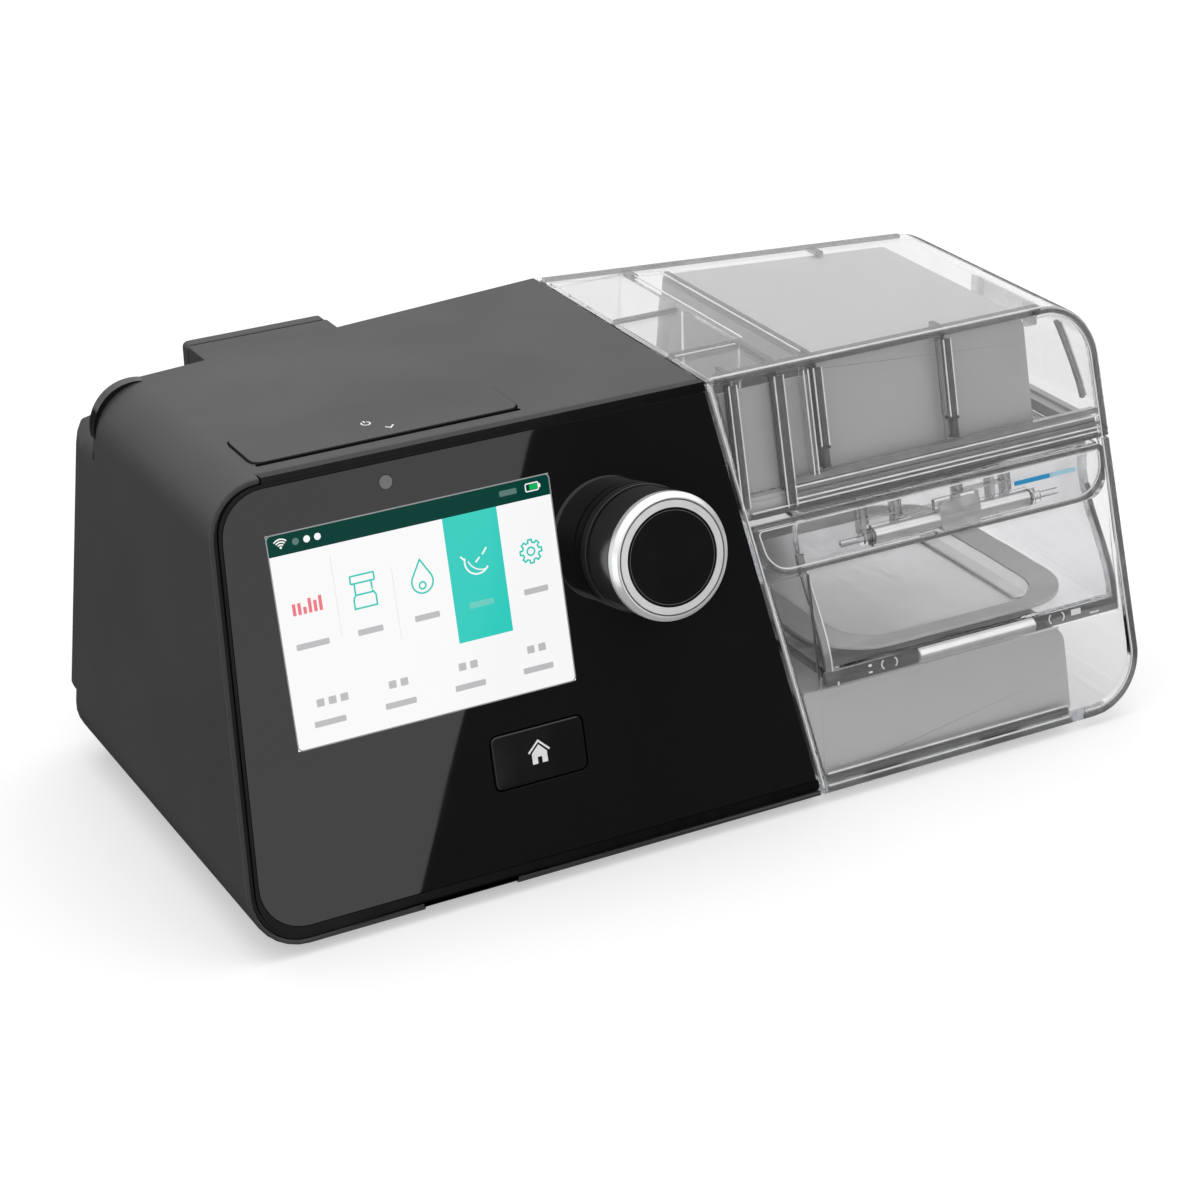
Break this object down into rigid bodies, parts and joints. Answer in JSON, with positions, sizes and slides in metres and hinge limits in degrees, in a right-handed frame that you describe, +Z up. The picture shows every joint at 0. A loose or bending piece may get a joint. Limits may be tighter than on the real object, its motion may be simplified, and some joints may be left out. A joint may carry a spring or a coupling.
{
  "type": "cpap machine",
  "caption": "Bedside breathing-therapy machine with a sloping screen panel, push dial, clear humidifier cover, pull-out water tank and rear hose outlet.",
  "frame": {"origin": "centre of the bounding box on the surface that it stands on", "axes": "+X to the viewer's right along the width, +Y from the front panel to the hose outlet, +Z up"},
  "size_m": [0.2632, 0.145, 0.1143],
  "materials": {
    "shell_black": "fine-grained matte charcoal moulding",
    "panel_gloss": "gloss black moulding",
    "panel_glass": "cover glass, printed black on its back",
    "screen": "lit display window with a plain symbol menu",
    "sensor_window": "smoked window",
    "lcd_frame": "pressed metal frame",
    "inner_plastic": "plain dark moulding",
    "circuit_board": "green solder mask",
    "board_part": "electronic parts",
    "switch_metal": "pressed steel",
    "ribbon": "flat cable",
    "knob_black": "piano black",
    "knob_metal": "satin face with a bright bevel",
    "spring_brass": "spring brass",
    "steel": "turned steel",
    "fan_white": "light moulding",
    "rubber_black": "soft black rubber",
    "foam_black": "open-cell foam",
    "filter_white": "pressed filter fibre",
    "silicone_grey": "translucent grey silicone",
    "clear_plastic": "clear smoke-tinted moulding",
    "liner_grey": "frosted light grey moulding",
    "outlet_grey": "light grey moulding",
    "heater_grey": "grey moulding",
    "heater_metal": "machined aluminium",
    "tank_metal": "pressed stainless steel"
  },
  "bodies": {
    "root": {"main_shell": "shell_black", "base_plate": "shell_black", "rear_cover": "shell_black", "rear_rim": "panel_gloss", "air_filter": "filter_white", "dc_jack": "inner_plastic", "jack_pin": "steel", "card_socket": "switch_metal", "rubber_feet": "rubber_black", "case_screws": "steel", "front_bezel": "panel_gloss", "front_glass": "panel_glass", "screen_lens": "screen", "lcd_panel": "lcd_frame", "light_sensor": "sensor_window", "front_chassis": "inner_plastic", "display_board": "circuit_board", "home_switch": "switch_metal", "start_board": "circuit_board", "start_switches": "switch_metal", "knob_collar": "panel_gloss", "encoder_body": "switch_metal", "power_board": "circuit_board", "power_parts": "board_part", "ribbon_cable": "ribbon", "blower_base": "inner_plastic", "blower_cover": "inner_plastic", "blower_motor": "steel", "blower_mounts": "rubber_black", "silencer_foam": "foam_black", "blower_duct": "inner_plastic", "tank_boot": "silicone_grey", "chamber_shell": "clear_plastic", "heater_base": "heater_grey", "heater_plate": "heater_metal", "air_outlet": "outlet_grey", "hinge_pins": "steel"},
    "dial_plunger": {"encoder_plunger": "spring_brass"},
    "dial": {"encoder_shaft": "steel", "knob_body": "knob_black", "knob_ring": "knob_metal", "knob_cap": "knob_black"},
    "home_button": {"home_button": "panel_gloss"},
    "start_button": {"start_button": "shell_black"},
    "fan": {"blower_impeller": "fan_white"},
    "cover": {"top_cover": "clear_plastic", "cover_liner": "liner_grey", "cell_divider": "clear_plastic", "cover_frame": "clear_plastic", "cover_seal": "silicone_grey"},
    "tank": {"tank_tub": "clear_plastic", "tank_base": "tank_metal", "base_gasket": "silicone_grey", "tank_lid": "clear_plastic", "tank_seal": "silicone_grey", "tank_band": "clear_plastic", "latch_pin": "steel"},
    "latch": {"latch_lever": "clear_plastic"},
    "filter_cap": {"filter_cap": "shell_black"},
    "port_cover": {"port_cover": "rubber_black"}
  },
  "joints": [
    {"name": "dial_push", "type": "slide", "parent": "root", "child": "dial_plunger", "axis": [0, 0.9749, -0.2226], "range_m": [0, 0.0008], "stiffness_N_per_m": 4000},
    {"name": "dial_turn", "type": "hinge", "parent": "dial_plunger", "child": "dial", "pos_m": [-0.0163, -0.05196, 0.07744], "axis": [0, -0.9749, 0.2226], "continuous": true},
    {"name": "home_press", "type": "slide", "parent": "root", "child": "home_button", "axis": [0, 0.9749, -0.2226], "range_m": [0, 0.0008], "stiffness_N_per_m": 2500},
    {"name": "start_press", "type": "slide", "parent": "root", "child": "start_button", "axis": [0, 0, -1], "range_m": [0, 0.0009], "stiffness_N_per_m": 2500},
    {"name": "fan_spin", "type": "hinge", "parent": "root", "child": "fan", "pos_m": [-0.0665, -0.00501, 0.04775], "axis": [0, 0, 1], "continuous": true},
    {"name": "cover_hinge", "type": "hinge", "parent": "root", "child": "cover", "pos_m": [0.00825, 0.05967, 0.07705], "axis": [-0.9829, 0.184, 0], "range_deg": [0, 95]},
    {"name": "tank_slide", "type": "slide", "parent": "root", "child": "tank", "axis": [0, -1, 0], "range_m": [0, 0.11]},
    {"name": "latch_pull", "type": "hinge", "parent": "tank", "child": "latch", "pos_m": [0.05192, -0.05356, 0.06549], "axis": [1, 0, 0], "range_deg": [0, 15], "stiffness_Nm_per_rad": 0.05},
    {"name": "filter_pull", "type": "slide", "parent": "root", "child": "filter_cap", "axis": [0, 1, 0], "range_m": [0, 0.02]},
    {"name": "port_flap", "type": "hinge", "parent": "root", "child": "port_cover", "pos_m": [-0.1212, 0.05887, 0.04992], "axis": [-1, 0, 0], "range_deg": [0, 100]}
  ]
}
